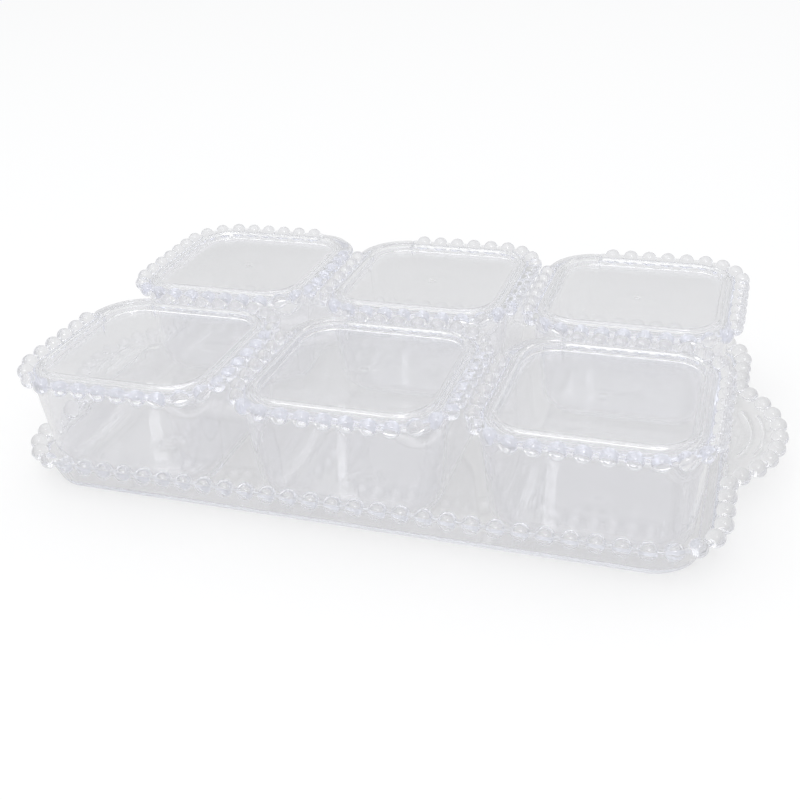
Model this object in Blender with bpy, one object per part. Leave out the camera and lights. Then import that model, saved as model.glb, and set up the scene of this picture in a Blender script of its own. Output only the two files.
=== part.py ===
"""Divided serving tray: a beaded tray with two handles, six square boxes and six lids.

Sizes are in millimetres and become metres in MM. X runs along the tray, Y from front to back,
and Z up from the surface that the tray stands on. The origin is the middle of the tray's underside.
"""
import bpy
import bmesh
from math import cos, pi, radians, sin

MM = 0.001

# Box
BOX_RING_HALF = 47.9         # middle of the box to the line through its rim beads
BOX_RING_CORNER = 23.96      # radius of that line at the corners
BOX_HEIGHT = 53.4            # underside of the box to that line
BOX_BEAD_RADIUS = 3.75
BOX_BEAD_PITCH = 9.5
BOX_NECK_RADIUS = 1.7
BOX_FLARE_REACH = 3.16       # wall below the flare, inside the bead line
BOX_FILLET = 15.0            # rounding between underside and wall
BOX_WALL_CORNER = 19.5
BOX_FLOOR_CORNER = 9.0
BOX_DRAFT = 0.085            # outward lean of the wall, per unit of height
BOX_WALL = 2.0
BOX_FLOOR = 2.0
BOX_FLARE_START = 12.0       # where the wall starts to turn out, below the bead line
BOX_RIM_DEPTH = 4.5          # underside of the rim, below the bead line
BOX_RIM_DROP = 0.5           # flat top of the rim, below the bead line
BOX_RIM_INSET = 0.7          # edge of the rim, inside the bead line
TAB_BEADS_LEFT_OUT = 4       # beads that the corner under the lid's tab goes without
BOX_LOBE = 1.9               # smooth corner of the rim, outside the bead line

# Lid
LID_PLAY = 0.45              # edge of the lid to the rim beads
LID_TAB = 4.3                # reach of the corner tab past the edge
LID_FLANGE = 1.2
LID_PLUG_PLAY = 0.5
LID_PLUG_DEPTH = 3.5         # below the flange
LID_PLUG_WALL = 1.6
LID_RIDGE_INSET = 3.2        # edge of the lid to the foot of its ridge
LID_RIDGE_WIDTH = 2.2
LID_RIDGE_RISE = 1.35        # above the flange
LID_PANEL_DROP = 1.7         # below the top of the flange
LID_PANEL = 1.5

# Tray
ROWS = 2
COLUMNS = 3
BOX_GAP_X = 0.7              # between the rims of neighbouring boxes
BOX_GAP_Y = 0.4
TRAY_PLAY_X = 5.3            # boxes to the upper edge of the recess
TRAY_PLAY_Y = 0.35
TRAY_RIM_X = 5.3             # upper edge of the recess to the bead line
TRAY_RIM_Y = 4.2
TRAY_LEAN_X = 2.9            # outer edge of the underside, inside the recess edge
TRAY_LEAN_Y = 1.5
TRAY_RING_CORNER = 26.4
TRAY_EDGE_CORNER = 21.0
TRAY_BASE_CORNER = 20.0
TRAY_EDGE_Z = 12.2           # upper edge of the recess
TRAY_BEAD_Z = 15.0
TRAY_BEAD_RADIUS = 3.95
TRAY_BEAD_PITCH = 10.0
TRAY_NECK_RADIUS = 1.8
TRAY_FLOOR = 2.0
TRAY_WALL = 2.0
TRAY_RIM_THICK = 2.2
HANDLE_RADIUS = 54.0         # line through the handle's beads
HANDLE_REACH = 19.0          # the furthest bead, outside the side's bead line
HANDLE_ROOT_Y = 44.0         # the side's last bead before the handle
HANDLE_ANGLE = radians(43.0)

SEAT_GAP = 0.3               # kept between pieces that rest on each other
CORNER_STEPS = 4
HANDLE_STEPS = 12
LOBE_ROOT = 2.0              # length over which a lobe grows out of the straight side
BURY = 0.6                   # how deep joined shapes reach into each other

BEAD_SIDES_TURN = radians(15.0)
BEAD_ACROSS = 1.0 / cos(BEAD_SIDES_TURN)   # six sides turned so reach a true radius out and up

CLEAR = (0.93, 0.94, 0.97, 1.0)


def clear_scene():
    for obj in list(bpy.data.objects):
        bpy.data.objects.remove(obj)


def clear_plastic(name, roughness):
    """Clear moulded polystyrene."""
    material = bpy.data.materials.new(name)
    material.use_nodes = True
    shader = material.node_tree.nodes["Principled BSDF"]
    shader.inputs["Base Color"].default_value = CLEAR
    shader.inputs["Roughness"].default_value = roughness
    shader.inputs["Metallic"].default_value = 0.0
    shader.inputs["IOR"].default_value = 1.59
    shader.inputs["Transmission Weight"].default_value = 1.0
    return material


def outline(half_x, half_y, corner, lobe=None):
    """A rounded rectangle, anticlockwise from the front right corner.

    A lobe pushes the back left corner out, from just before its arc to just after it.
    """
    points = []
    for turn, (side_x, side_y) in enumerate(((1, -1), (1, 1), (-1, 1), (-1, -1))):
        middle_x = side_x * (half_x - corner)
        middle_y = side_y * (half_y - corner)
        has_lobe = lobe is not None and turn == 2
        radius = corner + lobe if has_lobe else corner
        if has_lobe:
            points.append((middle_x + LOBE_ROOT, half_y))
        for step in range(CORNER_STEPS + 1):
            angle = (turn - 1 + step / CORNER_STEPS) * pi / 2
            points.append((middle_x + radius * cos(angle), middle_y + radius * sin(angle)))
        if has_lobe:
            points.append((-half_x, middle_y - LOBE_ROOT))
    return points


def loft(name, sections):
    """A closed body through outlines of equal point count, each with its height."""
    shape = bmesh.new()
    rings = [[shape.verts.new((x * MM, y * MM, z * MM)) for x, y in points] for points, z in sections]
    for lower, upper in zip(rings, rings[1:]):
        for i in range(len(lower)):
            after = (i + 1) % len(lower)
            shape.faces.new((lower[i], lower[after], upper[after], upper[i]))
    shape.faces.new(rings[0])
    shape.faces.new(rings[-1])
    bmesh.ops.recalc_face_normals(shape, faces=shape.faces)
    mesh = bpy.data.meshes.new(name)
    shape.to_mesh(mesh)
    shape.free()
    return helper(name, mesh)


def helper(name, data):
    """An object used only to build another one, kept out of the model."""
    obj = bpy.data.objects.new(name, data)
    obj.hide_render = True
    obj.display_type = "WIRE"
    guides.objects.link(obj)
    return obj


def solid_mesh(obj):
    """The mesh of an object with its modifiers or its bevel applied, and its loose caps welded."""
    graph = bpy.context.evaluated_depsgraph_get()
    mesh = bpy.data.meshes.new_from_object(obj.evaluated_get(graph))
    shape = bmesh.new()
    shape.from_mesh(mesh)
    bmesh.ops.remove_doubles(shape, verts=shape.verts, dist=0.001 * MM)
    shape.to_mesh(mesh)
    shape.free()
    return mesh


def curve_solid(curve_object):
    """The curve's solid as a mesh object in its place."""
    obj = helper(curve_object.name + "_solid", solid_mesh(curve_object))
    obj.matrix_world = curve_object.matrix_world
    bpy.data.objects.remove(curve_object)
    return obj


def bead_string(name, centres, z, radius, neck, closed):
    """Beads along a line of centres, linked by narrow necks halfway between them."""
    curve = bpy.data.curves.new(name, "CURVE")
    curve.dimensions = "3D"
    curve.twist_mode = "Z_UP"
    curve.bevel_depth = radius * BEAD_ACROSS * MM
    curve.bevel_resolution = 1
    curve.use_fill_caps = True
    stations = []
    links = zip(centres, centres[1:] + centres[:1]) if closed else zip(centres, centres[1:])
    for (x, y), (next_x, next_y) in links:
        stations.append((x, y, 1.0))
        stations.append(((x + next_x) / 2, (y + next_y) / 2, neck / radius))
    if not closed:
        stations.append((*centres[-1], 1.0))
    spline = curve.splines.new("POLY")
    spline.points.add(len(stations) - 1)
    spline.use_cyclic_u = closed
    for point, (x, y, share) in zip(spline.points, stations):
        point.co = (x * MM, y * MM, z * MM, 1.0)
        point.radius = share
        point.tilt = BEAD_SIDES_TURN
    return curve_solid(helper(name, curve))


def flat_plate(name, points, bottom, top):
    """A flat outline of even thickness."""
    curve = bpy.data.curves.new(name, "CURVE")
    curve.dimensions = "2D"
    curve.fill_mode = "BOTH"
    curve.extrude = (top - bottom) / 2 * MM
    spline = curve.splines.new("POLY")
    spline.points.add(len(points) - 1)
    spline.use_cyclic_u = True
    for point, (x, y) in zip(spline.points, points):
        point.co = (x * MM, y * MM, 0.0, 1.0)
    obj = helper(name, curve)
    obj.location.z = (top + bottom) / 2 * MM
    bpy.context.view_layer.update()
    return curve_solid(obj)


def united(name, base, others, material):
    """One mesh that joins the base with the other shapes."""
    for other in others:
        join = base.modifiers.new("join", "BOOLEAN")
        join.operation = "UNION"
        join.object = other
    mesh = solid_mesh(base)
    mesh.name = name
    mesh.materials.clear()
    mesh.materials.append(material)
    mesh.shade_smooth()
    mesh.set_sharp_from_angle(angle=radians(35.0))
    for helper_object in (base, *others):
        bpy.data.objects.remove(helper_object)
    return mesh


def piece(name, mesh, parent, x, y, z, turn=0.0):
    """A named piece of the model, placed from its parent's origin."""
    obj = bpy.data.objects.new(name, mesh)
    model.objects.link(obj)
    obj.parent = parent
    obj.location = (x * MM, y * MM, z * MM)
    obj.rotation_euler.z = turn
    return obj


# Box: an open shell with a flared rim, and beads round the rim
BOX_FLARE_Z = BOX_HEIGHT - BOX_FLARE_START


def box_outer(z):
    """Half width of the outside of the wall, which leans out to the foot of the flare."""
    return BOX_RING_HALF - BOX_FLARE_REACH - (BOX_FLARE_Z - z) * BOX_DRAFT


BOX_WALL_START = box_outer(BOX_FILLET)
BOX_FLOOR_HALF = BOX_WALL_START - BOX_FILLET         # flat part of the underside
BOX_RIM_TOP = BOX_HEIGHT - BOX_RIM_DROP
BOX_RIM_HALF = BOX_RING_HALF - BOX_RIM_INSET
BOX_OPENING_HALF = box_outer(BOX_FLARE_Z) - BOX_WALL
BOX_RING_MIDDLE = BOX_RING_HALF - BOX_RING_CORNER    # centre of the corner arcs


def box_fillet(radius, bottom, inset):
    """Sections of the rounding between the floor and the wall."""
    sections = []
    for share in (0.0, 1 / 3, 2 / 3, 1.0):
        angle = share * pi / 2
        half = BOX_FLOOR_HALF + radius * sin(angle)
        corner = BOX_FLOOR_CORNER + (BOX_WALL_CORNER - BOX_FLOOR_CORNER) * sin(angle) - inset
        sections.append((half, corner, bottom + radius * (1 - cos(angle)), 0.0))
    return sections


def box_sections():
    """Half width, corner radius, height and lobe, from the underside out, up and back inside."""
    flare_middle = (BOX_FLARE_Z + BOX_HEIGHT - BOX_RIM_DEPTH) / 2
    flare_half = box_outer(BOX_FLARE_Z) + (BOX_RIM_HALF - box_outer(BOX_FLARE_Z)) * 0.4
    outside = box_fillet(BOX_FILLET, 0.0, 0.0)
    outside.append((box_outer(BOX_FLARE_Z), BOX_WALL_CORNER + 0.8, BOX_FLARE_Z, 0.0))
    outside.append((flare_half, flare_half - BOX_RING_MIDDLE, flare_middle, 0.0))
    lobe = BOX_RIM_INSET + BOX_LOBE
    for z in (BOX_HEIGHT - BOX_RIM_DEPTH, BOX_RIM_TOP):
        outside.append((BOX_RIM_HALF, BOX_RIM_HALF - BOX_RING_MIDDLE, z, lobe))
    inside = box_fillet(BOX_FILLET - BOX_WALL, BOX_FLOOR, BOX_WALL)
    opening_corner = BOX_OPENING_HALF - BOX_RING_MIDDLE
    inside.append((BOX_OPENING_HALF, opening_corner, BOX_FLARE_Z, 0.0))
    inside.append((BOX_OPENING_HALF, opening_corner, BOX_RIM_TOP, 0.0))
    return outside + inside[::-1]


def square_loft(name, sections):
    return loft(name, [(outline(half, half, corner, lobe), z) for half, corner, z, lobe in sections])


def box_bead_centres():
    """Bead centres anticlockwise from the left side's front half, over front, right and back.

    The places run from just past the smooth corner all the way round to just before it.
    """
    straight = 2 * BOX_RING_MIDDLE
    arc = pi / 2 * BOX_RING_CORNER
    quarter = straight + arc
    count = 4 * round(quarter / BOX_BEAD_PITCH)
    pitch = 4 * quarter / count
    first = (TAB_BEADS_LEFT_OUT + 1) / 2
    centres = []
    for i in range(count - TAB_BEADS_LEFT_OUT):
        along = (first + i) * pitch + arc / 2
        centres.append(ring_point(along, straight, arc))
    return centres


def ring_point(along, straight, arc):
    """A place on the box's bead line, measured from the start of the smooth corner's arc."""
    turn, rest = divmod(along, straight + arc)
    if rest < arc:
        angle = rest / BOX_RING_CORNER
        x = -BOX_RING_MIDDLE - BOX_RING_CORNER * sin(angle)
        y = BOX_RING_MIDDLE + BOX_RING_CORNER * cos(angle)
    else:
        x = -BOX_RING_HALF
        y = BOX_RING_MIDDLE - (rest - arc)
    for _ in range(int(turn)):
        x, y = -y, x
    return x, y


def make_box_mesh():
    shell = square_loft("box_shell", box_sections())
    beads = bead_string("box_beads", box_bead_centres(), BOX_HEIGHT, BOX_BEAD_RADIUS, BOX_NECK_RADIUS, False)
    return united("box", shell, [beads], clear_plastic("box_clear_plastic", 0.06))


# Lid: a flange with a corner tab, a raised ridge round a sunk panel, and a plug below
LID_HALF = BOX_RING_HALF - BOX_BEAD_RADIUS - LID_PLAY
LID_PLUG_HALF = BOX_OPENING_HALF - LID_PLUG_PLAY


def lid_sections():
    """Half width, height and lobe, from the middle of the underside outwards and over the top."""
    ridge_outer = LID_HALF - LID_RIDGE_INSET
    ridge_inner = ridge_outer - LID_RIDGE_WIDTH
    ridge_top = LID_FLANGE + LID_RIDGE_RISE
    ridge_slope = 0.5
    edge = 0.3
    panel_top = LID_FLANGE - LID_PANEL_DROP
    plug_inner = LID_PLUG_HALF - LID_PLUG_WALL
    profile = [
        (plug_inner - 0.4, panel_top - LID_PANEL, 0.0),
        (plug_inner, -LID_PLUG_DEPTH, 0.0),
        (LID_PLUG_HALF - edge, -LID_PLUG_DEPTH, 0.0),
        (LID_PLUG_HALF, -LID_PLUG_DEPTH + edge, 0.0),
        (LID_PLUG_HALF, 0.0, 0.0),
        (LID_HALF, 0.0, LID_TAB),
        (LID_HALF, LID_FLANGE - edge, LID_TAB),
        (LID_HALF - edge, LID_FLANGE, LID_TAB),
        (ridge_outer + ridge_slope, LID_FLANGE, 0.0),
        (ridge_outer, ridge_top - edge, 0.0),
        (ridge_outer - ridge_slope, ridge_top, 0.0),
        (ridge_inner + ridge_slope, ridge_top, 0.0),
        (ridge_inner, panel_top, 0.0),
    ]
    return [(half, half - BOX_RING_MIDDLE, z, lobe) for half, z, lobe in profile]


def make_lid_mesh():
    body = square_loft("lid_body", lid_sections())
    return united("lid", body, [], clear_plastic("lid_clear_plastic", 0.08))


# Tray: a shallow recess with leaning walls, a rim, two handle plates, and beads all the way round
BOX_STEP_X = 2 * (BOX_RING_HALF + BOX_BEAD_RADIUS) + BOX_GAP_X
BOX_STEP_Y = 2 * (BOX_RING_HALF + BOX_BEAD_RADIUS) + BOX_GAP_Y
BOX_SEAT_Z = TRAY_FLOOR + SEAT_GAP
EDGE_HALF_X = (COLUMNS - 1) / 2 * BOX_STEP_X + BOX_WALL_START - SEAT_GAP + TRAY_PLAY_X
EDGE_HALF_Y = (ROWS - 1) / 2 * BOX_STEP_Y + BOX_WALL_START - SEAT_GAP + TRAY_PLAY_Y
RING_HALF_X = EDGE_HALF_X + TRAY_RIM_X
RING_HALF_Y = EDGE_HALF_Y + TRAY_RIM_Y
HANDLE_MIDDLE_X = RING_HALF_X + HANDLE_REACH - HANDLE_RADIUS
RIM_TOP = TRAY_BEAD_Z + 0.2
RIM_BOTTOM = RIM_TOP - TRAY_RIM_THICK


def tray_sections():
    """Half length, half depth, corner and height, from the underside out, up and back inside."""
    floor_share = (TRAY_EDGE_Z - TRAY_FLOOR) / TRAY_EDGE_Z
    base_x = EDGE_HALF_X - TRAY_LEAN_X
    base_y = EDGE_HALF_Y - TRAY_LEAN_Y
    floor_x = EDGE_HALF_X - (TRAY_LEAN_X + TRAY_WALL) * floor_share
    floor_y = EDGE_HALF_Y - (TRAY_LEAN_Y + TRAY_WALL) * floor_share
    rim_corner = (TRAY_RING_CORNER + TRAY_EDGE_CORNER) / 2
    lip = TRAY_WALL / 2
    return [
        (base_x, base_y, TRAY_BASE_CORNER, 0.0),
        (EDGE_HALF_X + lip, EDGE_HALF_Y + lip, TRAY_EDGE_CORNER + lip, TRAY_EDGE_Z - TRAY_WALL),
        (RING_HALF_X - BURY, RING_HALF_Y - BURY, TRAY_RING_CORNER - BURY, RIM_BOTTOM),
        (RING_HALF_X - BURY, RING_HALF_Y - BURY, TRAY_RING_CORNER - BURY, RIM_TOP),
        ((RING_HALF_X + EDGE_HALF_X) / 2, (RING_HALF_Y + EDGE_HALF_Y) / 2, rim_corner, RIM_TOP),
        (EDGE_HALF_X, EDGE_HALF_Y, TRAY_EDGE_CORNER, TRAY_EDGE_Z),
        (floor_x, floor_y, TRAY_BASE_CORNER - TRAY_WALL / 2, TRAY_FLOOR),
    ]


def quarter_bead_centres():
    """Bead centres from the middle of the front to the last one before the right handle."""
    straight = RING_HALF_X - TRAY_RING_CORNER
    arc = pi / 2 * TRAY_RING_CORNER
    side = RING_HALF_Y - TRAY_RING_CORNER
    length = straight + arc + side - HANDLE_ROOT_Y
    count = round(length / TRAY_BEAD_PITCH)
    centres = []
    for i in range(count + 1):
        along = length * i / count
        if along < straight:
            centres.append((along, -RING_HALF_Y))
        elif along < straight + arc:
            angle = (along - straight) / TRAY_RING_CORNER
            x = straight + TRAY_RING_CORNER * sin(angle)
            y = -side - TRAY_RING_CORNER * cos(angle)
            centres.append((x, y))
        else:
            centres.append((RING_HALF_X, along - straight - arc - side))
    return centres


def handle_bead_centres():
    """Bead centres round the right handle, from front to back."""
    steps = round(2 * HANDLE_ANGLE * HANDLE_RADIUS / TRAY_BEAD_PITCH)
    centres = []
    for i in range(steps + 1):
        angle = HANDLE_ANGLE * (2 * i / steps - 1)
        x = HANDLE_MIDDLE_X + HANDLE_RADIUS * cos(angle)
        centres.append((x, HANDLE_RADIUS * sin(angle)))
    return centres


def tray_bead_centres():
    """All bead centres, anticlockwise from the middle of the front."""
    front = quarter_bead_centres()
    right = front + handle_bead_centres() + [(x, -y) for x, y in front[::-1]]
    left = [(-x, y) for x, y in right[-2:0:-1]]
    return right + left


def handle_plate(side):
    """The flat part of a handle, from inside the rim to the line of its beads."""
    reach = HANDLE_RADIUS - BURY
    root = EDGE_HALF_X + TRAY_RIM_X / 2
    points = [(root, -HANDLE_ROOT_Y), (RING_HALF_X - BURY, -HANDLE_ROOT_Y)]
    for i in range(HANDLE_STEPS + 1):
        angle = HANDLE_ANGLE * (2 * i / HANDLE_STEPS - 1)
        points.append((HANDLE_MIDDLE_X + reach * cos(angle), reach * sin(angle)))
    points += [(RING_HALF_X - BURY, HANDLE_ROOT_Y), (root, HANDLE_ROOT_Y)]
    name = "handle_right" if side > 0 else "handle_left"
    return flat_plate(name, [(side * x, y) for x, y in points], RIM_BOTTOM + 0.05, RIM_TOP - 0.05)


def make_tray_mesh():
    body = loft("tray_body", [(outline(x, y, corner), z) for x, y, corner, z in tray_sections()])
    beads = bead_string("tray_beads", tray_bead_centres(), TRAY_BEAD_Z, TRAY_BEAD_RADIUS,
                        TRAY_NECK_RADIUS, True)
    shapes = [handle_plate(1), handle_plate(-1), beads]
    return united("tray", body, shapes, clear_plastic("tray_clear_plastic", 0.05))


def build():
    tray = piece("tray", make_tray_mesh(), None, 0.0, 0.0, 0.0)
    box_mesh = make_box_mesh()
    lid_mesh = make_lid_mesh()
    quarter_turned = "back_left"     # this box stands with its tab corner at the back right
    for row, row_name in enumerate(("front", "back")):
        for column, column_name in enumerate(("left", "middle", "right")):
            place = f"{row_name}_{column_name}"
            x = (column - (COLUMNS - 1) / 2) * BOX_STEP_X
            y = (row - (ROWS - 1) / 2) * BOX_STEP_Y
            turn = -pi / 2 if place == quarter_turned else 0.0
            box = piece("box_" + place, box_mesh, tray, x, y, BOX_SEAT_Z, turn)
            piece("lid_" + place, lid_mesh, box, 0.0, 0.0, BOX_RIM_TOP + SEAT_GAP)


clear_scene()
model = bpy.data.collections.new("divided_serving_tray")
guides = bpy.data.collections.new("construction")
for collection in (model, guides):
    bpy.context.scene.collection.children.link(collection)
build()
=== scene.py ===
"""Clear polystyrene serving tray with two bead-edged handles, six square boxes and six lids.

Lengths are in millimetres and become metres in MM.
"""
import bpy
from math import acos, asin, atan2, cos, hypot, pi, radians, sin, sqrt
from mathutils import Matrix, Vector


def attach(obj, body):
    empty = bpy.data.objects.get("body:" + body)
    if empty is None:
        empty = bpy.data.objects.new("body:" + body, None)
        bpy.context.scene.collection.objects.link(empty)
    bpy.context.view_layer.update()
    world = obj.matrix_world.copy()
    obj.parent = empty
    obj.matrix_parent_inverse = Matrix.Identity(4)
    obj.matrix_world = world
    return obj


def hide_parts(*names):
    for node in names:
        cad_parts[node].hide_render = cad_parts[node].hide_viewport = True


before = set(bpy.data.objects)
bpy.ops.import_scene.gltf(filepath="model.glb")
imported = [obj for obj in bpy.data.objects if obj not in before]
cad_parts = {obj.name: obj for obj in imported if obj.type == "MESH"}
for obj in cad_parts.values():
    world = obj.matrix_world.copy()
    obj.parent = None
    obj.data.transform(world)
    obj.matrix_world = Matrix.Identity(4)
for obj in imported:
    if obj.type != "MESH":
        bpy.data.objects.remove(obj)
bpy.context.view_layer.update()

MM = 0.001

# Box: bead line, wall and rounded floor
RING_HALF = 47.9            # middle of the box to the line through its beads
RING_CORNER = 23.96
RING_MIDDLE = RING_HALF - RING_CORNER
BEAD_Z = 53.4
BEAD = 3.75
BEAD_PITCH = 9.5            # about, and fitted to whole beads all the way round
NECK = 1.1
FLOOR_HALF = 27.5           # flat part of the underside
FLOOR_CORNER = 9.0
WALL_CORNER = 19.5
FILLET = 15.0
WALL = 2.0
FLARE_Z = 41.4              # where the wall starts to turn out
FLARE_HALF = 44.74
OPENING_HALF = 42.74
MOUTH_HALF = 43.3           # of the opening at its upper edge, under the lid
MOUTH_FOOT_Z = 48.6         # where the opening starts to widen
RIM_HALF = 47.2
RIM_BOTTOM = (51.6, 51.2)   # along a side, and round a corner
RIM_BEND = (14.0, 1.8)      # how late the wall turns out to it, along a side and round a corner
WALL_TUCK = 0.3             # how far the wall leans back in before that, along a side
RIM_TOP = 52.9
TAB_PLACES = 4              # bead places that the corner under the lid's tab goes without
LOBE_REACH = 2.6            # of that corner, past the rim's edge
LOBE_HALF = 18.6            # half its length along the bead line
LOBE_END = 2.4              # over which it starts and ends
WALL_LEAN = 0.085           # outward, per unit of height
WALL_CUTS = ((28.0, 0.4), (40.0, 0.8))      # heights between fillet and flare, and how much rounder
BOX_STEP = (104.0, 103.7)   # from box to box
BOX_SEAT = 2.3              # underside of a box
LID_SEAT = 53.2             # flange of the lid above the underside of its box

# Lid
LID_HALF = 43.7
PLUG_HALF = 42.24
FLANGE = 1.2
PANEL = (-2.0, -0.5)        # underside and top of the sunk panel, from the flange's underside
PANEL_HALF = 38.0
PANEL_CORNER = 14.0
TAB_REACH = 4.2
TAB_HALF = 19.6             # half its length along the bead line
TAB_END = 3.2               # over which it starts and ends

# Tray
TRAY_RING = (156.8, 98.6)
TRAY_RING_CORNER = 26.4
TRAY_EDGE = (151.5, 94.4)   # upper edge of the recess
TRAY_EDGE_CORNER = 21.0
TRAY_BASE = (148.6, 92.9)
TRAY_BASE_CORNER = 20.0
TRAY_FLOOR = (147.4, 91.5)
TRAY_FLOOR_CORNER = 19.0
TRAY_FLOOR_Z = 2.0
TRAY_EDGE_Z = 12.2
TRAY_BEAD_Z = 15.0
TRAY_BEAD = 3.95
TRAY_BEAD_PITCH = 10.0      # about
TRAY_NECK = 1.15
TRAY_RIM = (13.6, 15.2)     # underside and top of the rim
TRAY_FOOT_Z = 10.2          # where the outside of the recess turns out to the rim
HANDLE_RADIUS = 54.0
HANDLE_MIDDLE = 121.8
HANDLE_ANGLE = radians(43.0)
HANDLE_ROOT = 44.0
HANDLE_RIBS = ((42.0, radians(24.0)), (47.3, radians(22.0)))    # radius, and how far round they go
RIB_HEIGHT = 0.3

# Cuts through a bead
BEAD_ANGLES = (-73, -61, -49, -37, -25, -12.5, 0, 12.5, 25, 37, 49, 61, 73)
BEAD_STATIONS = [sin(radians(angle)) for angle in BEAD_ANGLES]  # in bead radii from its middle
BEAD_STEPS = 24             # points round each cut

# Finish
SMOOTH_DEGREES = 40         # edges sharper than this stay sharp
WATER_CLEAR = "#FDFDFE"
SMEAR_MM = 9                # patches of haze that hands leave


# Finishes
def hex_to_linear(code):
    """An sRGB hex colour as linear light."""
    parts = [int(code[i:i + 2], 16) / 255 for i in (1, 3, 5)]
    linear = [p / 12.92 if p <= 0.04045 else ((p + 0.055) / 1.055) ** 2.4 for p in parts]
    return (*linear, 1.0)


def add_node(tree, kind, settings=None, **links):
    """Adds a node, sets its properties, and fills its sockets with values or other sockets."""
    node = tree.nodes.new(kind)
    for key, value in (settings or {}).items():
        setattr(node, key, value)
    for key, value in links.items():
        numbered = key[0] == "i" and key[1:].isdigit()
        socket = node.inputs[int(key[1:]) if numbered else key.replace("_", " ")]
        if isinstance(value, bpy.types.NodeSocket):
            tree.links.new(value, socket)
        else:
            socket.default_value = value
    return node


def moulded_clear_polystyrene(name, roughness, wave_mm, wave_depth_mm, toner, density, painted_glow_colour):
    """Crystal polystyrene, injection moulded against a polished steel cavity.

    It is water clear with a sharp gloss. The flow of the melt leaves long shallow waves in the
    faces, which bend what is seen through them, and handling leaves a faint uneven haze. The resin
    holds a trace of toner, which takes a little light on a long way. Inside, it also has a painted
    glow in the pale edge colour, with no lamp behind it, which stands in for light carried far
    along in the plastic. So light that stays in a wall, rim or bead for long comes out as that
    colour.
    """
    material = bpy.data.materials.new(name)
    material.use_nodes = True
    tree = material.node_tree
    tree.nodes.clear()
    place = add_node(tree, "ShaderNodeTexCoord").outputs["Object"]
    waves = add_node(tree, "ShaderNodeTexNoise", Vector=place, Scale=1 / (wave_mm * MM),
                     Detail=1.5, Roughness=0.4)
    ripple = add_node(tree, "ShaderNodeBump", Strength=1.0, Distance=wave_depth_mm * MM,
                      Height=waves.outputs["Fac"])
    smears = add_node(tree, "ShaderNodeTexNoise", Vector=place, Scale=1 / (SMEAR_MM * MM),
                      Detail=4.0, Roughness=0.6)
    haze = add_node(tree, "ShaderNodeMapRange", Value=smears.outputs["Fac"], From_Min=0.35,
                    From_Max=0.75, To_Min=roughness * 0.4, To_Max=roughness * 1.8)
    shader = add_node(tree, "ShaderNodeBsdfPrincipled", Base_Color=hex_to_linear(WATER_CLEAR),
                      Roughness=haze.outputs["Result"], IOR=1.59, Transmission_Weight=1.0,
                      Normal=ripple.outputs["Normal"])
    taken = hex_to_linear(toner)
    depth = add_node(tree, "ShaderNodeVolumeAbsorption", Color=taken, Density=density)
    # Painted glow: the inside gives off light in the pale edge colour, standing in for light
    # carried far along in the plastic
    painted_glow_tint = [(1 - part) * edge for part, edge in zip(taken, hex_to_linear(painted_glow_colour)[:3])]
    glow = add_node(tree, "ShaderNodeEmission", Color=(*painted_glow_tint, 1.0), Strength=density)
    inside = add_node(tree, "ShaderNodeAddShader", i0=depth.outputs["Volume"],
                      i1=glow.outputs["Emission"])
    out = add_node(tree, "ShaderNodeOutputMaterial", Surface=shader.outputs["BSDF"])
    tree.links.new(inside.outputs["Shader"], out.inputs["Volume"])
    return material


# Shapes
def rounded(half_x, half_y, corner, place):
    """A point of a rounded rectangle.

    A place is two shares of the straight sides and an outward direction.
    """
    a, b, nx, ny = place
    return a * (half_x - corner) + nx * corner, b * (half_y - corner) + ny * corner


def arc(middle, radius, start, end, steps):
    """Points of an arc in the upright plane, as distance from the middle line and height."""
    points = []
    for i in range(steps + 1):
        angle = start + (end - start) * i / steps
        points.append((middle[0] + radius * cos(angle), middle[1] + radius * sin(angle)))
    return points


def closed_skin(name, rows):
    """One closed surface through rows of equal length, wrapped round.

    Its first and last columns are capped.
    """
    across = len(rows[0])
    count = len(rows)
    corners = [(x * MM, y * MM, z * MM) for row in rows for x, y, z in row]
    faces = []
    for i in range(count):
        after = (i + 1) % count
        for j in range(across - 1):
            here, beyond = i * across + j, after * across + j
            faces.append((here, beyond, beyond + 1, here + 1))
    faces.append([i * across for i in range(count - 1, -1, -1)])
    faces.append([i * across + across - 1 for i in range(count)])
    mesh = bpy.data.meshes.new(name)
    mesh.from_pydata(corners, [], faces)
    mesh.shade_smooth()
    mesh.set_sharp_from_angle(angle=radians(SMOOTH_DEGREES))
    return mesh


def square_place(along, straight, corner):
    """The place at a length along a square's bead line, anticlockwise from its back left arc."""
    quarter = straight + pi / 2 * corner
    turn, rest = divmod(along, quarter)
    if rest < pi / 2 * corner:
        angle = rest / corner
        place = (-1.0, 1.0, -sin(angle), cos(angle))
    else:
        place = (-1.0, 1 - 2 * (rest - pi / 2 * corner) / straight, -1.0, 0.0)
    for _ in range(int(turn) % 4):
        a, b, nx, ny = place
        place = (-b, a, -ny, nx)
    return place


def smooth_step(value):
    value = min(max(value, 0.0), 1.0)
    return value * value * (3 - 2 * value)


def bead_thickness(offset, radius, neck):
    return max(sqrt(max(radius * radius - offset * offset, 0.0)), neck)


def flat_middle(place, half, corner, marks):
    """Round marks at the middle of a flat face, on the same spokes as the rings round them."""
    x, y = rounded(half, half, corner, place)
    far = hypot(x, y)
    return [(x / far * radius, y / far * radius, z) for radius, z in marks]


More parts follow.
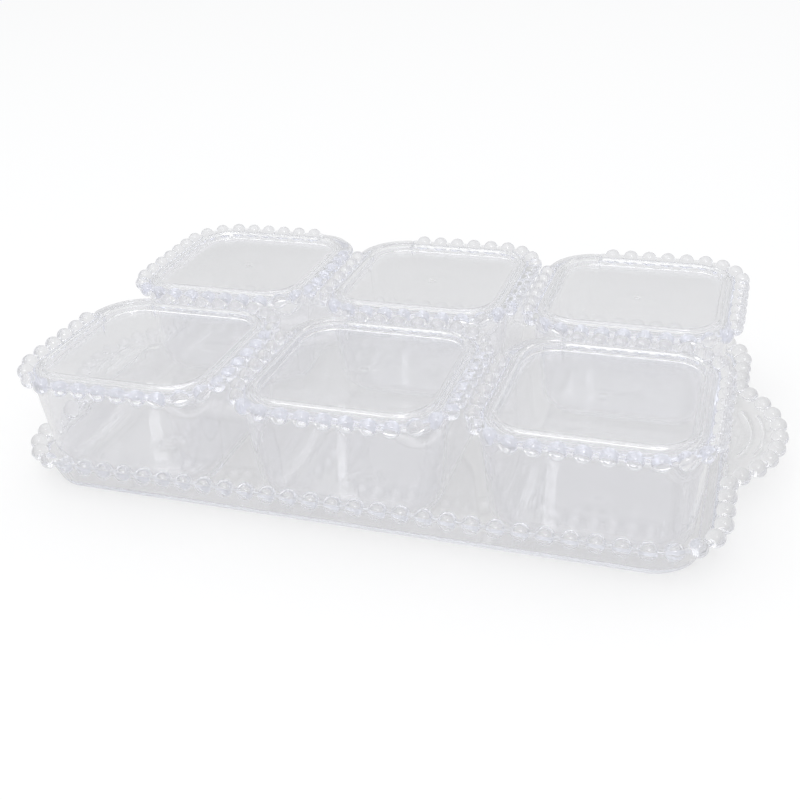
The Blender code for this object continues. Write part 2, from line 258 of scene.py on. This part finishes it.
def box_rows():
    straight = 2 * RING_MIDDLE
    quarter = straight + pi / 2 * RING_CORNER
    places = 4 * round(quarter / BEAD_PITCH)
    pitch = 4 * quarter / places
    lobe_middle = pi / 4 * RING_CORNER
    rows = []
    for k in range(places):
        middle = lobe_middle + (k - (TAB_PLACES - 1) / 2) * pitch
        offsets = [share * BEAD for share in BEAD_STATIONS]
        stations = [(offset, bead_thickness(offset, BEAD, NECK)) for offset in offsets]
        stations.append((pitch / 2, NECK))
        for offset, thick in stations:
            along = (middle + offset) % (4 * quarter)
            away = min(abs(along - lobe_middle), 4 * quarter - abs(along - lobe_middle))
            lobe = smooth_step((LOBE_HALF - away) / LOBE_END)
            rows.append(box_row(square_place(along, straight, RING_CORNER), thick, lobe))
    return rows


def box_outer_half(z):
    """Half width of the outside of the wall, which leans out to the foot of the flare."""
    return FLARE_HALF - (FLARE_Z - z) * WALL_LEAN


def box_row(place, thick, lobe):
    """One upright cut through the box, from the middle of the underside over the rim and inside."""
    row = flat_middle(place, FLOOR_HALF, FLOOR_CORNER, ((2.0, 0.0),))

    def add(half, corner, z):
        row.append((*rounded(half, half, corner, place), z))

    for share in (0.4, 0.97):
        add(FLOOR_HALF * share, FLOOR_CORNER * share, 0.0)
    for step in range(7):
        out = sin(step / 6 * pi / 2)
        up = FILLET * (1 - cos(step / 6 * pi / 2))
        add(FLOOR_HALF + FILLET * out, FLOOR_CORNER + (WALL_CORNER - FLOOR_CORNER) * out, up)
    for z, rounder in WALL_CUTS:
        add(box_outer_half(z), WALL_CORNER + rounder, z)
    turned = smooth_step(1.5 * min(abs(place[2]), abs(place[3])))

    def under_rim(share, turned):
        """A point of the outside, from the foot of the flare to the rim's lower edge."""
        bottom, bend = [side + (corner - side) * turned for side, corner in (RIM_BOTTOM, RIM_BEND)]
        foot = FLARE_HALF - WALL_TUCK * (1 - turned) * share
        half = foot + (RIM_HALF - foot) * (1 - (1 - share) ** (1 / bend))
        return half, FLARE_Z + (bottom - FLARE_Z) * share

    def in_bead(share):
        half, z = under_rim(share, turned)
        return hypot(half - RING_HALF, z - BEAD_Z) < thick

    if in_bead(1.0):
        met = crossing(in_bead, 0.0, 1.0)
        half, z = under_rim(met, turned)
        low = atan2(z - BEAD_Z, half - RING_HALF)
    else:
        met = 1.0
        low = -acos((RIM_HALF - RING_HALF) / thick)
    high = asin((BEAD_Z - RIM_TOP) / thick) + pi
    bead_edge = []
    smooth_edge = []
    for share in (0.1, 0.3, 0.5, 0.7, 0.85, 0.94, 0.98, 1.0):
        bead_edge.append(under_rim(share * met, turned))
        smooth_edge.append(under_rim(share, 1.0))
    edge_round = (RIM_TOP - RIM_BOTTOM[1]) / 2
    bead_edge += arc((RING_HALF, BEAD_Z), thick, low, high, BEAD_STEPS)
    smooth_edge += arc((RIM_HALF + LOBE_REACH - edge_round, RIM_TOP - edge_round), edge_round,
                       -pi / 2, pi / 2, BEAD_STEPS)
    for (bead_half, bead_z), (smooth_half, smooth_z) in zip(bead_edge, smooth_edge):
        half = bead_half + (smooth_half - bead_half) * lobe
        add(half, half - RING_MIDDLE, bead_z + (smooth_z - bead_z) * lobe)
    rim_inner = min(bead_edge[-1][0], RIM_HALF - 0.6) - 0.3
    inside = ((rim_inner, RIM_TOP), (MOUTH_HALF + 0.3, RIM_TOP),
              (MOUTH_HALF + 0.08, RIM_TOP - 0.08), (MOUTH_HALF, RIM_TOP - 0.3),
              (OPENING_HALF, MOUTH_FOOT_Z), (OPENING_HALF, FLARE_Z + 1.0),
              (OPENING_HALF - 0.1, FLARE_Z - 1.0))
    for half, z in inside:
        add(half, half - RING_MIDDLE, z)
    z, rounder = WALL_CUTS[0]
    add(box_outer_half(z) - WALL, WALL_CORNER - WALL + rounder, z)
    for step in range(6, -1, -1):
        out = sin(step / 6 * pi / 2)
        up = (FILLET - WALL) * (1 - cos(step / 6 * pi / 2))
        corner = FLOOR_CORNER - WALL + (WALL_CORNER - FLOOR_CORNER) * out
        add(FLOOR_HALF + (FILLET - WALL) * out, corner, WALL + up)
    for share in (0.97, 0.4):
        add(FLOOR_HALF * share, FLOOR_CORNER * share, WALL)
    gate = ((5.2, WALL), (4.8, WALL + 0.05), (4.2, WALL + 0.1), (1.9, WALL + 0.1),
            (1.4, WALL + 0.02))
    return row + flat_middle(place, FLOOR_HALF, FLOOR_CORNER, gate)


def lid_rows():
    straight = 2 * RING_MIDDLE
    quarter = straight + pi / 2 * RING_CORNER
    tab_middle = pi / 4 * RING_CORNER
    stations = set()
    for turn in range(4):
        for step in range(13):
            stations.add(turn * quarter + pi / 2 * RING_CORNER * step / 12)
        for step in range(1, 9):
            stations.add(turn * quarter + pi / 2 * RING_CORNER + straight * step / 9)
    for step in range(9):
        for side in (-1, 1):
            on_end = TAB_HALF - TAB_END - 0.2 + 0.45 * step
            stations.add((tab_middle + side * on_end) % (4 * quarter))
    rows = []
    last = None
    for along in sorted(stations):
        if last is not None and along - last < 0.12:
            continue
        last = along
        away = min(abs(along - tab_middle), 4 * quarter - abs(along - tab_middle))
        tab = TAB_REACH * smooth_step((TAB_HALF - away) / TAB_END)
        rows.append(lid_row(square_place(along, straight, RING_CORNER), tab))
    return rows


def lid_row(place, tab):
    """One upright cut through the lid, from the middle of its underside to the sunk panel's."""
    panel_under, panel = PANEL
    row = flat_middle(place, PANEL_HALF, PANEL_CORNER, ((2.0, panel_under),))
    edge = LID_HALF + tab
    rim = (
        # Underside, and the low wall that keeps the lid in the mouth
        (12.0, panel_under), (39.3, panel_under), (40.05, panel_under - 0.02),
        (40.4, panel_under - 0.3), (40.6, -3.05), (40.75, -3.4), (41.05, -3.5), (41.85, -3.5),
        (42.13, -3.4), (PLUG_HALF, -3.1), (PLUG_HALF, -0.25), (PLUG_HALF + 0.12, -0.04),
        (PLUG_HALF + 0.4, 0.0),
        # Edge
        (edge - 0.4, 0.0), (edge - 0.12, 0.08), (edge, 0.34), (edge, FLANGE - 0.34),
        (edge - 0.12, FLANGE - 0.08), (edge - 0.42, FLANGE),
        # Ridge, and the sunk panel
        (41.3, FLANGE), (41.02, FLANGE + 0.08), (40.86, FLANGE + 0.35), (40.66, 2.2),
        (40.48, 2.45), (40.15, 2.55), (38.95, 2.55), (38.66, 2.46), (38.5, 2.22), (38.36, -0.05),
        (38.22, -0.38), (37.9, panel), (36.6, panel), (12.0, panel),
    )
    for half, z in rim:
        corner = half - RING_MIDDLE if half > 30 else half * 0.5
        row.append((*rounded(half, half, corner, place), z))
    gate = ((5.4, panel), (4.6, panel - 0.03), (3.2, panel - 0.05), (1.6, panel - 0.04),
            (1.1, panel + 0.08))
    return row + flat_middle(place, PANEL_HALF, PANEL_CORNER, gate)


def quarter_line():
    """Lengths of the bead line from the middle of the front.

    They are those of the front, the corner, the side, the root of the handle and half the handle.
    """
    root_x = HANDLE_MIDDLE + HANDLE_RADIUS * cos(HANDLE_ANGLE)
    root_y = HANDLE_RADIUS * sin(HANDLE_ANGLE)
    link = hypot(root_x - TRAY_RING[0], HANDLE_ROOT - root_y)
    front = TRAY_RING[0] - TRAY_RING_CORNER
    side = TRAY_RING[1] - TRAY_RING_CORNER - HANDLE_ROOT
    return front, pi / 2 * TRAY_RING_CORNER, side, link, HANDLE_ANGLE * HANDLE_RADIUS


def tray_point(along):
    """Point of the bead line, its outward direction, and its place on the tray's rectangles."""
    front, corner, side, link, handle = quarter_line()
    side_flat = TRAY_RING[1] - TRAY_RING_CORNER
    along = min(along, front + corner + side + link + handle)
    if along < front:
        return (along, -TRAY_RING[1]), (0.0, -1.0), (along / front, -1.0, 0.0, -1.0)
    along -= front
    if along < corner:
        angle = along / TRAY_RING_CORNER
        n = (sin(angle), -cos(angle))
        return rounded(*TRAY_RING, TRAY_RING_CORNER, (1.0, -1.0, *n)), n, (1.0, -1.0, *n)
    along -= corner
    if along < side + 0.001:
        y = along - side_flat
        return (TRAY_RING[0], y), (1.0, 0.0), (1.0, y / side_flat, 1.0, 0.0)
    along -= side
    root = (HANDLE_MIDDLE + HANDLE_RADIUS * cos(HANDLE_ANGLE), -HANDLE_RADIUS * sin(HANDLE_ANGLE))
    if along < link:
        share = along / link
        x = TRAY_RING[0] + (root[0] - TRAY_RING[0]) * share
        y = -HANDLE_ROOT + (root[1] + HANDLE_ROOT) * share
        n = ((root[1] + HANDLE_ROOT) / link, (TRAY_RING[0] - root[0]) / link)
        return (x, y), n, (1.0, y / side_flat, 1.0, 0.0)
    angle = (along - link) / HANDLE_RADIUS - HANDLE_ANGLE
    n = (cos(angle), sin(angle))
    x = HANDLE_MIDDLE + HANDLE_RADIUS * n[0]
    y = HANDLE_RADIUS * n[1]
    return (x, y), n, (1.0, y / side_flat, 1.0, 0.0)


def bead_seat(along):
    """Middle of a bead and its outward direction, the mean of the line's before and after it."""
    before, after = tray_point(along - 0.01)[1], tray_point(along + 0.01)[1]
    nx, ny = before[0] + after[0], before[1] + after[1]
    length = hypot(nx, ny)
    return tray_point(along)[0], (nx / length, ny / length)


def neck_between(before, after):
    """The station halfway between the last one of a bead and the first one of the next."""
    def halfway(i):
        return tuple((p + q) / 2 for p, q in zip(before[i], after[i]))

    point, outward, place = halfway(0), halfway(1), halfway(2)
    length = hypot(*outward)
    return point, (outward[0] / length, outward[1] / length), place, TRAY_NECK


def tray_stations():
    """Stations of the bead line all the way round, anticlockwise from the middle of the front."""
    front, corner, side, link, handle = quarter_line()
    total = front + corner + side + link + handle
    ring = front + corner + side
    count = round(ring / TRAY_BEAD_PITCH)
    centres = [ring * i / count for i in range(count + 1)]
    handle_count = round(2 * handle / TRAY_BEAD_PITCH) // 2
    centres += [ring + link + handle * i / handle_count for i in range(handle_count + 1)]
    front_right = []
    for k, centre in enumerate(centres):
        middle, outward = bead_seat(centre)
        stations = []
        for share in BEAD_STATIONS:
            offset = share * TRAY_BEAD
            if -0.001 < centre + offset < total + 0.001:
                point = (middle[0] - outward[1] * offset, middle[1] + outward[0] * offset)
                place = tray_point(centre + offset)[2]
                thick = bead_thickness(offset, TRAY_BEAD, TRAY_NECK)
                stations.append((point, outward, place, thick))
        if k:
            front_right.append(neck_between(front_right[-1], stations[0]))
        front_right += stations

    def mirrored(station, mx, my):
        (x, y), (nx, ny), (a, b, px, py), thick = station
        return (x * mx, y * my), (nx * mx, ny * my), (a * mx, b * my, px * mx, py * my), thick

    right = front_right + [mirrored(station, 1, -1) for station in front_right[-2::-1]]
    return right + [mirrored(station, -1, 1) for station in right[-2:0:-1]]


def crossing(test, start, end):
    """Where a test turns true between two values."""
    for _ in range(26):
        middle = (start + end) / 2
        if test(middle):
            end = middle
        else:
            start = middle
    return end


def tray_row(point, outward, place, thick):
    """One upright cut through the tray, from the underside's middle over the rim and inside."""
    row = []

    def ring(size, corner, z):
        row.append((*rounded(*size, corner, place), z))

    for share in (0.03, 0.5, 0.985):
        ring((TRAY_BASE[0] * share, TRAY_BASE[1] * share), TRAY_BASE_CORNER * share, 0.0)
    for inset, z in ((0.75, 0.0), (0.25, 0.1), (0.02, 0.4)):
        ring((TRAY_BASE[0] - inset, TRAY_BASE[1] - inset), TRAY_BASE_CORNER - inset, z)
    foot = (TRAY_EDGE[0] + 1.0, TRAY_EDGE[1] + 1.0)
    for share in (0.5, 0.92):
        size = [base + (edge - base) * share for base, edge in zip(TRAY_BASE, foot)]
        ring(size, TRAY_BASE_CORNER + 2.0 * share, TRAY_FOOT_Z * share)
    under = rounded(*foot, TRAY_EDGE_CORNER + 1.0, place)
    under_far = hypot(point[0] - under[0], point[1] - under[1])
    edge = rounded(*TRAY_EDGE, TRAY_EDGE_CORNER, place)
    edge_far = hypot(point[0] - edge[0], point[1] - edge[1])
    flat = max(0.6, under_far - 3.7)
    shoulder = max(edge_far * 0.5, edge_far - 2.65)

    def under_z(far):
        share = max(far - flat, 0.0) / (under_far - flat)
        return TRAY_RIM[0] - (TRAY_RIM[0] - TRAY_FOOT_Z) * share ** 3

    def top_z(far):
        drop = min(max((far - shoulder) / (edge_far - shoulder), 0.0), 1.0)
        return TRAY_RIM[1] - (TRAY_RIM[1] - TRAY_EDGE_Z) * drop ** 0.3

    def in_under(angle):
        far = -thick * cos(angle)
        return far > 0.6 and TRAY_BEAD_Z + thick * sin(angle) > under_z(far)

    def in_top(angle):
        far = -thick * cos(angle)
        return TRAY_BEAD_Z + thick * sin(angle) < top_z(far)

    low = crossing(in_under, -pi / 2, -pi)
    high = crossing(in_top, pi / 2, 1.6 * pi)

    def beside(far):
        return point[0] - outward[0] * far, point[1] - outward[1] * far

    def path(far, target, target_far):
        """Straight off the bead line for a bead's reach, and then to a point of the recess."""
        knee = min(TRAY_BEAD + 0.15, 0.7 * target_far)
        x, y = beside(min(far, knee))
        share = max(far - knee, 0.0) / (target_far - knee)
        return x + (target[0] - x) * share, y + (target[1] - y) * share

    # Underside of the rim or of the handle
    start = -thick * cos(low)
    start_z = TRAY_BEAD_Z + thick * sin(low)
    for share in (0.0, 0.12, 0.3, 0.6, 0.85):
        far = under_far + (max(start, 0.62) - under_far) * share
        row.append((*path(far, under, under_far), under_z(far)))
    row.append((*beside(start), min(start_z, max(under_z(start), TRAY_RIM[0]) + 0.02)))
    # Bead or neck
    for far, z in arc((0.0, TRAY_BEAD_Z), thick, low, high, BEAD_STEPS):
        row.append((*beside(-far), z))
    # Top of the rim or of the handle, then the slope into the recess
    end = -thick * cos(high)
    middle = max(shoulder, end + 0.3 * (edge_far - end))

    def on_top(far, lift=0.0):
        row.append((*path(far, edge, edge_far), top_z(far) + lift))

    def from_middle(far):
        x, y = path(far, edge, edge_far)
        return hypot(abs(x) - HANDLE_MIDDLE, y)

    ribs = []
    for radius, reach in HANDLE_RIBS[::-1]:
        bearing = abs(atan2(point[1], abs(point[0]) - HANDLE_MIDDLE))
        on_handle = middle - end > 12
        height = RIB_HEIGHT * smooth_step((reach - bearing) / radians(2.5)) if on_handle else 0.0
        if height > 0:
            far = crossing(lambda value: from_middle(value) < radius, end, middle)
        else:
            far = end + (middle - end) * (0.4 if radius > 45 else 0.65)
        ribs.append((far, height))
    spread = min(0.55, (middle - end) * 0.05)
    on_top(end + (middle - end) * 0.08)
    for far, height in ribs:
        for offset, lift in ((-1.0, 0.0), (-0.55, 0.55), (0.0, 1.0), (0.55, 0.55), (1.0, 0.0)):
            on_top(far + offset * spread, height * lift)
    on_top(end + (middle - end) * 0.93)
    for share in (0.0, 0.3, 0.6, 0.88):
        on_top(middle + (edge_far - middle) * share)
    ring(TRAY_EDGE, TRAY_EDGE_CORNER, TRAY_EDGE_Z)
    for share in (0.06, 0.5, 0.9, 0.97):
        size = [up + (down - up) * share for up, down in zip(TRAY_EDGE, TRAY_FLOOR)]
        ring(size, TRAY_EDGE_CORNER + (TRAY_FLOOR_CORNER - TRAY_EDGE_CORNER) * share,
             TRAY_EDGE_Z + (TRAY_FLOOR_Z - TRAY_EDGE_Z) * share)
    ring((TRAY_FLOOR[0] - 0.4, TRAY_FLOOR[1] - 0.4), TRAY_FLOOR_CORNER - 0.4, TRAY_FLOOR_Z)
    for share in (0.985, 0.5, 0.03):
        size = (TRAY_FLOOR[0] * share, TRAY_FLOOR[1] * share)
        ring(size, TRAY_FLOOR_CORNER * share, TRAY_FLOOR_Z)
    return row


def stand_in(name, mesh, node, origin, turn=0.0):
    """A finished piece in the place of its solid, moving with it."""
    obj = bpy.data.objects.new(name, mesh)
    bpy.context.scene.collection.objects.link(obj)
    place = Matrix.Translation([value * MM for value in origin])
    obj.matrix_world = place @ Matrix.Rotation(turn, 4, "Z")
    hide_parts(node)
    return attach(obj, node)


def make_pieces():
    """The three mouldings, which the thirteen pieces are made from, and their finishes."""
    tray_rows = [tray_row(*station) for station in tray_stations()]
    tray_mesh = closed_skin("tray_moulding", tray_rows)
    # The last colour of each finish is that of the painted glow inside it, which stands in for
    # light carried along in the plastic
    tray_mesh.materials.append(moulded_clear_polystyrene(
        "tray_moulded_clear_polystyrene", roughness=0.015, wave_mm=26.0, wave_depth_mm=0.02,
        toner="#A4A8B6", density=6.0, painted_glow_colour="#D2D4DE"))
    box_mesh = closed_skin("box_moulding", box_rows())
    box_mesh.materials.append(moulded_clear_polystyrene(
        "box_moulded_clear_polystyrene", roughness=0.025, wave_mm=18.0, wave_depth_mm=0.012,
        toner="#A4A8B6", density=9.0, painted_glow_colour="#D9DBE7"))
    lid_mesh = closed_skin("lid_moulding", lid_rows())
    lid_mesh.materials.append(moulded_clear_polystyrene(
        "lid_moulded_clear_polystyrene", roughness=0.045, wave_mm=22.0, wave_depth_mm=0.01,
        toner="#A4A6AE", density=24.0, painted_glow_colour="#DADBDF"))
    stand_in("tray_shell", tray_mesh, "tray", (0.0, 0.0, 0.0))
    for row, y in (("front", -BOX_STEP[1] / 2), ("back", BOX_STEP[1] / 2)):
        for column, x in (("left", -BOX_STEP[0]), ("middle", 0.0), ("right", BOX_STEP[0])):
            where = f"{row}_{column}"
            turn = -pi / 2 if where == "back_left" else 0.0
            stand_in(f"box_{where}_shell", box_mesh, f"box_{where}",
                     (x, y, BOX_SEAT), turn)
            stand_in(f"lid_{where}_shell", lid_mesh, f"lid_{where}",
                     (x, y, BOX_SEAT + LID_SEAT), turn)


# Setting
LIGHT_BOUNCES = 96          # sight crosses a dozen clear walls, and light goes round in a bead
# Sine of the height above the horizon, and level
SKY_LEVELS = ((0.0, 0.78), (0.12, 0.7), (0.3, 0.56), (0.4, 0.72), (0.5, 0.98), (0.72, 1.04))
TABLE_IN_PLASTIC = 0.78     # level of the white table where the plastic shows it
WHITE_SEEN = 0.72           # share of plain white where the camera sees it, the rest is paint
WHITE_THROUGH = 0.8         # the same where the plastic shows it
TABLE_REACH = 6.0           # metres
AIR_FILM_MM = 0.2           # under the tray, without which its floor has no lower gloss
SOFTBOXES = (               # name, place, width and height in metres, and watts
    ("soft_overhead", (-0.25, -0.15, 1.5), 1.7, 1.4, 6.0),
    ("soft_front", (0.35, -0.75, 0.95), 0.5, 0.4, 2.6),
)
CAMERA_LENS = 49.1          # millimetres, on a sensor 36 wide
CAMERA_PLACE = (            # its axes and its place, in metres
    (0.9490, -0.1102, 0.2954, 0.1570),
    (0.3116, 0.4700, -0.8259, -0.4464),
    (-0.0479, 0.8759, 0.4804, 0.2713),
    (0.0, 0.0, 0.0, 1.0),
)


def studio_sky():
    """A pale studio: light walls at the level of the table, greyer above, and a light ceiling."""
    world = bpy.data.worlds.new("studio")
    bpy.context.scene.world = world
    world.use_nodes = True
    tree = world.node_tree
    tree.nodes.clear()
    direction = add_node(tree, "ShaderNodeTexCoord").outputs["Generated"]
    height = add_node(tree, "ShaderNodeSeparateXYZ", Vector=direction).outputs["Z"]
    ramp = add_node(tree, "ShaderNodeValToRGB", Fac=height)
    elements = ramp.color_ramp.elements
    while len(elements) < len(SKY_LEVELS):
        elements.new(0.5)
    for element, (position, level) in zip(elements, SKY_LEVELS):
        element.position = position
        element.color = (level, level * 1.01, level, 1.0)
    around = add_node(tree, "ShaderNodeBackground", Color=ramp.outputs["Color"], Strength=1.0)
    seen = add_node(tree, "ShaderNodeBackground", Color=(1.0, 1.0, 1.0, 1.0), Strength=1.0)
    camera_ray = add_node(tree, "ShaderNodeLightPath").outputs["Is Camera Ray"]
    mix = add_node(tree, "ShaderNodeMixShader", i0=camera_ray, i1=around.outputs["Background"],
                   i2=seen.outputs["Background"])
    add_node(tree, "ShaderNodeOutputWorld", Surface=mix.outputs["Shader"])


def painted_white_board():
    """The table top: a white painted board. It is matt, and shows a soft shadow."""
    material = bpy.data.materials.new("table_painted_white_board")
    material.use_nodes = True
    tree = material.node_tree
    tree.nodes.clear()
    paint = add_node(tree, "ShaderNodeBsdfDiffuse", Color=hex_to_linear("#F2F2F2"))
    white = add_node(tree, "ShaderNodeEmission", Color=hex_to_linear("#FCFCFD"), Strength=1.0)
    ray = add_node(tree, "ShaderNodeLightPath").outputs
    level = add_node(tree, "ShaderNodeMapRange", Value=ray["Is Camera Ray"],
                     To_Min=TABLE_IN_PLASTIC, To_Max=1.0)
    tree.links.new(level.outputs["Result"], white.inputs["Strength"])
    # The paint takes the shadow, and the plain white keeps it pale
    through = add_node(tree, "ShaderNodeMath", {"operation": "MAXIMUM"},
                       i0=ray["Is Transmission Ray"], i1=ray["Is Glossy Ray"])
    direct = add_node(tree, "ShaderNodeMath", {"operation": "MULTIPLY"},
                      i0=ray["Is Camera Ray"], i1=WHITE_SEEN)
    share = add_node(tree, "ShaderNodeMath", {"operation": "MULTIPLY_ADD"},
                     i0=through.outputs["Value"], i1=WHITE_THROUGH,
                     i2=direct.outputs["Value"])
    mix = add_node(tree, "ShaderNodeMixShader", i0=share.outputs["Value"],
                   i1=paint.outputs["BSDF"], i2=white.outputs["Emission"])
    add_node(tree, "ShaderNodeOutputMaterial", Surface=mix.outputs["Shader"])
    return material


def softbox(name, place, width, height, watts):
    """A soft rectangular lamp that faces the middle of the tray."""
    lamp = bpy.data.lights.new(name, "AREA")
    lamp.shape = "RECTANGLE"
    lamp.size = width
    lamp.size_y = height
    lamp.energy = watts
    obj = bpy.data.objects.new(name, lamp)
    obj.location = place
    obj.rotation_euler = Vector(place).to_track_quat("Z", "Y").to_euler()
    bpy.context.scene.collection.objects.link(obj)


def make_setting():
    """The table, the lamps, the sky, and the camera where the photograph was taken from."""
    mesh = bpy.data.meshes.new("table_top")
    reach, top = TABLE_REACH, -AIR_FILM_MM * MM
    corners = [(x * reach, y * reach, top) for x, y in ((-1, -1), (1, -1), (1, 1), (-1, 1))]
    mesh.from_pydata(corners, [], [(0, 1, 2, 3)])
    mesh.materials.append(painted_white_board())
    table = bpy.data.objects.new("table_top", mesh)
    bpy.context.scene.collection.objects.link(table)
    for values in SOFTBOXES:
        softbox(*values)
    studio_sky()
    camera = bpy.data.cameras.new("camera")
    camera.lens = CAMERA_LENS
    camera.sensor_width = 36.0
    camera_object = bpy.data.objects.new("camera", camera)
    camera_object.matrix_world = Matrix(CAMERA_PLACE)
    bpy.context.scene.collection.objects.link(camera_object)
    bpy.context.scene.camera = camera_object
    bpy.context.scene.view_settings.view_transform = "Standard"
    cycles = bpy.context.scene.cycles
    cycles.max_bounces = cycles.transmission_bounces = cycles.glossy_bounces = LIGHT_BOUNCES


make_pieces()
make_setting()
